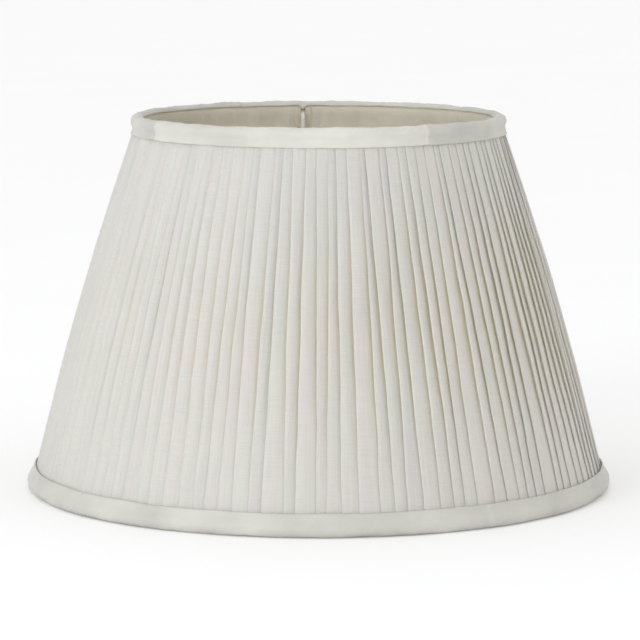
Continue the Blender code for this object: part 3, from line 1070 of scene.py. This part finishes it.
class SHADE_OT_bindings(bpy.types.Operator):
    """Fold bias bindings over both rings"""

    bl_idname = "shade.bindings"
    bl_label = "Bindings"

    def execute(self, context):
        sizes = sized("trim")
        satin = cloth_finish(
            "ivory_binding_cloth",
            sized("colours").trim,
            thread=0.00036,
            relief=0.00007,
            slub=0.20,
            roughness=0.50,
            through=0.08,
            bias=math.pi / 4,
            cloud=0.60,
            tone="strip_tone_and_shade",
        )
        path = self.roll(TOP_WIRE, TOP_ROLL - sizes.thickness / 2, range(142, -9, -15))
        path += [side_point(down, out) for down, out in TOP_SKIRT]
        self.bind("top", path, sizes.thickness, satin, sizes)

        path = [side_point(SIDE_LENGTH - up, out) for up, out in BOTTOM_SKIRT]
        path += self.roll(BOTTOM_WIRE, BOTTOM_ROLL - sizes.bottom_thickness / 2, range(0, -181, -18))
        path += [side_point(SIDE_LENGTH - up, out) for up, out in BOTTOM_INSIDE]
        self.bind("bottom", path, sizes.bottom_thickness, satin, sizes)
        return {"FINISHED"}

    def roll(self, wire, radius, degrees):
        """The part of a path that goes round a wire, in degrees from straight out of the side."""
        return [round_point(wire, SIDE_LEAN + math.radians(turn), radius) for turn in degrees]

    def bind(self, end, path, thickness, satin, sizes):
        section, width = self.folded_strip(path, thickness)
        angles = self.stations(sizes.columns)
        middle = sum(point.x for point, *_ in section) / len(section)

        def place(i, j):
            point, normal, tangent, along, edge = section[j % len(section)]
            angle = angles[i % len(angles)]
            wander = edge * sizes.edge_wander * ripple(angle, 9, 0.0, 4 if end == "top" else 5)
            point = point + normal * self.relief(angle, along, sizes, end) + tangent * wander
            if end == "top":
                point = self.over_arm(point, angle, along)
            return at_angle(Vector((point.x, max(point.y, 0.0))), angle)

        def cloth_place(i, j):
            turn = angles[i % len(angles)] + (2 * math.pi if i >= len(angles) else 0)
            return turn * middle, section[j % len(section)][3]

        # Each column's tone: the strips' own tones with painted shade
        def tone(i):
            return self.strip_tone_and_shade(angles[i % len(angles)], end)

        name = f"{end}_bias_binding"
        binding = woven(name, len(angles), len(section), place, cloth_place, satin, closed=True, tone=tone)
        turn_outward(binding.data)
        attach(binding, "shade")
        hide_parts(f"{end}_trim")

    def folded_strip(self, path, thickness):
        """The strip's closed section: over its face, round its edge and back along its underside."""
        travelled = distances_along(path)
        width = travelled[-1]
        face = []
        back = []
        for index, point in enumerate(path):
            ahead = path[min(index + 1, len(path) - 1)]
            behind = path[max(index - 1, 0)]
            tangent = (ahead - behind).normalized()
            normal = Vector((-tangent.y, tangent.x))
            along = travelled[index]
            edge = max(1 - min(along, width - along) / 0.004, 0)
            half = normal * thickness / 2 * (1 + 0.35 * edge)
            face.append((point + half, normal, tangent, along, edge))
            back.append((point - half, normal, tangent, along, edge))
        caps = []
        for index, way in ((len(path) - 1, 0.45), (0, -0.45)):
            point, normal, tangent, along, edge = face[index]
            middle = (point + back[index][0]) / 2 + tangent * thickness * way
            caps.append((middle, normal, tangent, along, edge))
        return face + caps[:1] + back[::-1] + caps[1:], width

    def stations(self, columns):
        """Even steps round the ring, with two close together at each join for its sharp edge."""
        gap = 2 * math.pi / columns
        angles = [gap * step for step in range(columns)]
        for join in JOIN_ANGLES:
            held = join % (2 * math.pi)
            angles = [angle for angle in angles if abs(swing(angle - held)) > gap * 0.6]
            angles += [held - gap * 0.12, held + gap * 0.12]
        return sorted(angles)

    def relief(self, angle, along, sizes, end):
        """How far the face stands out here: creases, and a step where a strip's end laps."""
        seed = 6 if end == "top" else 9
        round_ring = (angle - JOIN_ANGLES[0]) % (2 * math.pi) * TOP_WIRE.x
        lift = sizes.crease * ripple(angle, 4.0, (along - 0.16 * round_ring) / 0.0036, seed)
        lift += sizes.crease * 0.6 * ripple(angle, 10, (along + 0.3 * round_ring) / 0.0030, seed + 1)
        lift += sizes.crease * 0.3 * ripple(angle, 55, along * 420, seed + 2)
        fold = ripple(angle, 6.5, (along - 0.25 * round_ring) / 0.0050, seed + 3)
        lift += sizes.crease * 0.45 * max(1 - abs(fold) / 0.10, 0)
        lap_angle = 0.12
        for join in JOIN_ANGLES:
            past_join = swing(angle - join)
            if 0 < past_join < lap_angle:
                lift += sizes.lap * (1 - past_join / lap_angle)
        return lift

    def over_arm(self, point, angle, along):
        """The inner edge of the top binding reaches down over the welded feet of the arms."""
        low = max(1 - along / 0.0024, 0)
        reach = max(near(angle, arm, 0.026) for arm in ARM_ANGLES)
        return point - Vector((0, 0.0026)) * low * reach

    def strip_tone_and_shade(self, angle, end):
        """The bindings are joined from strips, with a step in tone at each join. Partly painted shade: the
        top one's first strip, at the front, is lighter than its others, and the whole bottom binding is
        darker, as if they were less lit.
        """
        if end == "bottom":
            return 0.90
        past_first = (angle - JOIN_ANGLES[0]) % (2 * math.pi)
        first_strip = (JOIN_ANGLES[1] - JOIN_ANGLES[0]) % (2 * math.pi)
        return 0.86 if past_first > first_strip else 0.98


class SHADE_OT_arm_loops(bpy.types.Operator):
    """Fold a strip of lining under each arm, to close the slit that it comes through"""

    bl_idname = "shade.arm_loops"
    bl_label = "Arm Loops"

    def execute(self, context):
        warm = bpy.data.materials["warm_lining_cloth"]
        for end, arm in zip(("back", "front"), ARM_ANGLES):
            self.loop(end, arm, warm)
        return {"FINISHED"}

    def loop(self, end, arm, warm):
        """A strip folded in half lengthways, laid on the lining in a U under the arm."""
        leg = 0.0086
        half_gap = 0.0033
        width = 0.0038
        ply = 0.0002
        steps = 26
        bands = 12
        bend = math.pi * half_gap
        whole = 2 * leg + bend

        def middle(travel):
            """The strip's middle line as (sideways, down), and its direction."""
            if travel < leg:
                return Vector((-half_gap, travel)), Vector((0, 1))
            if travel > leg + bend:
                return Vector((half_gap, leg - (travel - leg - bend))), Vector((0, -1))
            turn = (travel - leg) / half_gap
            return (
                Vector((-math.cos(turn) * half_gap, leg + math.sin(turn) * half_gap)),
                Vector((math.sin(turn), math.cos(turn))),
            )

        def place(i, j):
            spot, heading = middle(whole * i / steps)
            across = Vector((heading.y, -heading.x))
            turn = 2 * math.pi * (j / bands * 0.94 + 0.03)
            spot = spot + across * (math.cos(turn) * width / 2)
            rise = 0.0003 + ply * (1 - math.sin(turn)) * 0.5
            rise += 0.00008 * noise.noise(Vector((spot.x * 900, spot.y * 900, 3)))
            down = spot.y - 0.0012
            return lining_point(arm + spot.x / (TOP_WIRE.x + 0.002), down, rise)

        def cloth_place(i, j):
            return whole * i / steps, j / bands * 2 * width

        loop = woven(f"arm_loop_{end}", steps, bands, place, cloth_place, warm)
        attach(loop, "shade")
        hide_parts(f"lining_patch_{end}")


class SHADE_OT_fitting(bpy.types.Operator):
    """Bend the fitting's arms and gimbal wires, and press its lamp ring"""

    bl_idname = "shade.fitting"
    bl_label = "Lamp Fitting"

    def execute(self, context):
        enamel = metal_finish("white_enamel", sized("colours").enamel, 0.0, 0.34, 0.35, 0.08)
        for side, end in ((1, "back"), (-1, "front")):
            self.arm(side, end, enamel)
            self.gimbal_wire(side, end, enamel)
        self.lamp_ring(enamel)
        return {"FINISHED"}

    def keep(self, piece, body, node):
        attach(piece, body)
        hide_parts(node)

    def arm(self, side, end, enamel):
        foot = round_point(TOP_WIRE, math.radians(250), RING_WIRE + 0.55 * FITTING_WIRE)
        shoulder = foot.y - 0.8 * (foot.x - ARM_RADIUS)
        stem = [
            Vector((-EYE_RADIUS, foot.x, foot.y)),
            Vector((-EYE_RADIUS, ARM_RADIUS, shoulder)),
            Vector((-EYE_RADIUS, ARM_RADIUS, PIVOT.z)),
        ]
        path = bent(stem, 2.2 * FITTING_WIRE)[:-1]
        eye_steps = 28
        for step in range(eye_steps + 1):
            turn = math.radians(180 + 10 * step)
            eye = Vector((math.cos(turn), 0, math.sin(turn))) * EYE_RADIUS
            path.append(Vector((0, ARM_RADIUS - 0.0001 * step / eye_steps, PIVOT.z)) + eye)
        path = [Vector((side * point.x, side * point.y, point.z)) for point in path]
        mesh = wire_mesh(f"arm_wire_{end}", path, FITTING_WIRE, {0: 1.25, 1: 1.0})
        self.keep(link(f"arm_wire_{end}", mesh, enamel), "shade", f"fitting_arm_{end}")

    def gimbal_wire(self, side, end, enamel):
        low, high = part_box(f"gimbal_wire_{end}")
        ring_low, ring_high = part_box("lamp_ring")
        reach = max(abs(low.y), abs(high.y))
        drop = PIVOT.z - (ring_low.z + ring_high.z) / 2
        head = 0.0012
        straight = 0.0080
        corners = [
            (reach - head - 0.0001, 0),
            (ARM_RADIUS - straight, 0),
            (ring_high.x + straight, -drop),
            (ring_high.x + 0.0003, -drop),
        ]
        run = bent([Vector((0, side * y, PIVOT.z + z)) for y, z in corners], 4 * FITTING_WIRE)
        crown = ((0.0, 0.55), (0.15, 0.85), (0.4, 1), (0.85, 1), (1, 0.85))
        path = [Vector((0, side * (reach - inward * head), PIVOT.z)) for inward, _ in crown] + run
        head_radius = (high.z - PIVOT.z) / FITTING_WIRE
        swellings = {index: head_radius * size for index, (_, size) in enumerate(crown)}
        mesh = wire_mesh(f"gimbal_arm_{end}", path, FITTING_WIRE, swellings)
        self.add_weld(mesh, Vector((0, side * (ring_high.x + 0.0004), PIVOT.z - drop)))
        self.keep(link(f"gimbal_arm_{end}", mesh, enamel), "gimbal", f"gimbal_wire_{end}")

    def add_weld(self, mesh, centre):
        """A flattened bead where the wire meets the ring's edge."""
        bead = bmesh.new()
        bead.from_mesh(mesh)
        shape = Matrix.Translation(centre) @ Matrix.Diagonal((1.1, 0.8, 0.75, 1))
        size = sized("fitting").weld
        bmesh.ops.create_uvsphere(bead, u_segments=20, v_segments=12, radius=size, matrix=shape)
        bead.to_mesh(mesh)
        bead.free()

    def lamp_ring(self, enamel):
        """A pressed ring whose upper face dips slightly between its rounded edges."""
        low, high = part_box("lamp_ring")
        hole = 0.02075
        dip = 0.00025
        middle = (hole + high.x) / 2
        corners = [
            Vector((hole, high.z)),
            Vector((middle, high.z - dip)),
            Vector((high.x, high.z)),
            Vector((high.x, low.z)),
            Vector((middle, low.z)),
            Vector((hole, low.z)),
        ]
        outline = rounded(corners, sized("fitting").edge)
        ring = lathe("pressed_lamp_ring", outline, 128, enamel)
        self.keep(ring, "gimbal", "lamp_ring")


def reducer_ribs_tree():
    """Small ribs set evenly round a circle."""
    inputs = [("Ribs", "Int"), ("Radius", "Float"), ("Height", "Float"), ("Size", "Vector")]
    tree, steps = shape_tree("Reducer Ribs", inputs + [("Plastic", "Material")])
    given = steps.add("NodeGroupInput").outputs
    circle = steps.add("GeometryNodeMeshCircle", {"Vertices": given["Ribs"], "Radius": given["Radius"]})
    rib = steps.add("GeometryNodeMeshCube", {"Size": given["Size"]})
    place = steps.add("GeometryNodeInputPosition").outputs[0]
    split = steps.add("ShaderNodeSeparateXYZ", {0: place})
    turn = steps.math("ARCTAN2", split.outputs[1], split.outputs[0])
    facing = steps.add("ShaderNodeCombineXYZ", {2: turn}).outputs[0]
    fed = {"Points": circle.outputs[0], "Instance": rib.outputs[0], "Rotation": facing}
    set_out = steps.add("GeometryNodeInstanceOnPoints", fed)
    real = steps.add("GeometryNodeRealizeInstances", {"Geometry": set_out.outputs[0]})
    up = steps.add("ShaderNodeCombineXYZ", {2: given["Height"]}).outputs[0]
    moved = steps.add("GeometryNodeSetPosition", {"Geometry": real.outputs[0], "Offset": up})
    fed = {"Geometry": moved.outputs[0], "Material": given["Plastic"]}
    finished = steps.add("GeometryNodeSetMaterial", fed)
    steps.add("NodeGroupOutput", {"Geometry": finished.outputs[0]})
    return tree


class SHADE_OT_reducer(bpy.types.Operator):
    """Mould the reducer ring that drops into the lamp ring"""

    bl_idname = "shade.reducer"
    bl_label = "Reducer"

    def execute(self, context):
        plastic = plastic_finish("white_moulded_plastic", sized("colours").plastic)
        low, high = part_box("reducer_ring")
        hole = 0.0145
        spigot = 0.02045
        inside = spigot - 0.0015
        web_foot = high.z - 0.0012
        corners = [
            Vector((hole, high.z)),
            Vector((high.x, high.z)),
            Vector((high.x, web_foot)),
            Vector((spigot, web_foot)),
            Vector((spigot, low.z)),
            Vector((inside, low.z)),
            Vector((inside, web_foot)),
            Vector((hole, web_foot)),
        ]
        ring = lathe("moulded_reducer", rounded(corners, 0.0004, 3), 128, plastic)
        values = {
            "Ribs": sized("fitting").ribs,
            "Radius": (hole + inside) / 2,
            "Height": web_foot - 0.0005,
            "Size": (inside - hole + 0.0002, 0.0009, 0.0012),
            "Plastic": plastic,
        }
        ribs = shaped("reducer_ribs", reducer_ribs_tree(), values)
        both = bmesh.new()
        both.from_mesh(ring.data)
        both.from_mesh(ribs)
        both.to_mesh(ring.data)
        both.free()
        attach(ring, "reducer")
        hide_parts("reducer_ring")
        return {"FINISHED"}


class SHADE_PT_panel(bpy.types.Panel):
    """Lists the shade's operators and their settings"""

    bl_label = "Pleated Shade"
    bl_idname = "SHADE_PT_panel"
    bl_space_type = "VIEW_3D"
    bl_region_type = "UI"
    bl_category = "Shade"

    def draw(self, context):
        for operator in OPERATORS:
            self.layout.operator(operator.bl_idname)
        for name, group in SETTINGS.items():
            box = self.layout.box()
            box.label(text=group.__doc__)
            for setting in group.__annotations__:
                box.prop(sized(name), setting)


SETTINGS = {
    "cover": CoverSizes,
    "trim": TrimSizes,
    "lining": LiningSizes,
    "fitting": FittingSizes,
    "colours": Colours,
    "stage": StageSizes,
}
OPERATORS = (
    SHADE_OT_stage,
    SHADE_OT_wire_frame,
    SHADE_OT_ring_tapes,
    SHADE_OT_pleated_cover,
    SHADE_OT_lining,
    SHADE_OT_bindings,
    SHADE_OT_arm_loops,
    SHADE_OT_fitting,
    SHADE_OT_reducer,
)


def register():
    for group in SETTINGS.values():
        bpy.utils.register_class(group)
    for operator in OPERATORS:
        bpy.utils.register_class(operator)
    bpy.utils.register_class(SHADE_PT_panel)
    for name, group in SETTINGS.items():
        setattr(bpy.types.Scene, "shade_" + name, PointerProperty(type=group))


def unregister():
    for name in SETTINGS:
        delattr(bpy.types.Scene, "shade_" + name)
    bpy.utils.unregister_class(SHADE_PT_panel)
    for operator in reversed(OPERATORS):
        bpy.utils.unregister_class(operator)
    for group in reversed(SETTINGS.values()):
        bpy.utils.unregister_class(group)


def main():
    register()
    for operator in OPERATORS:
        family, name = operator.bl_idname.split(".")
        getattr(getattr(bpy.ops, family), name)()
    bpy.context.view_layer.update()


if __name__ == "__main__":
    main()
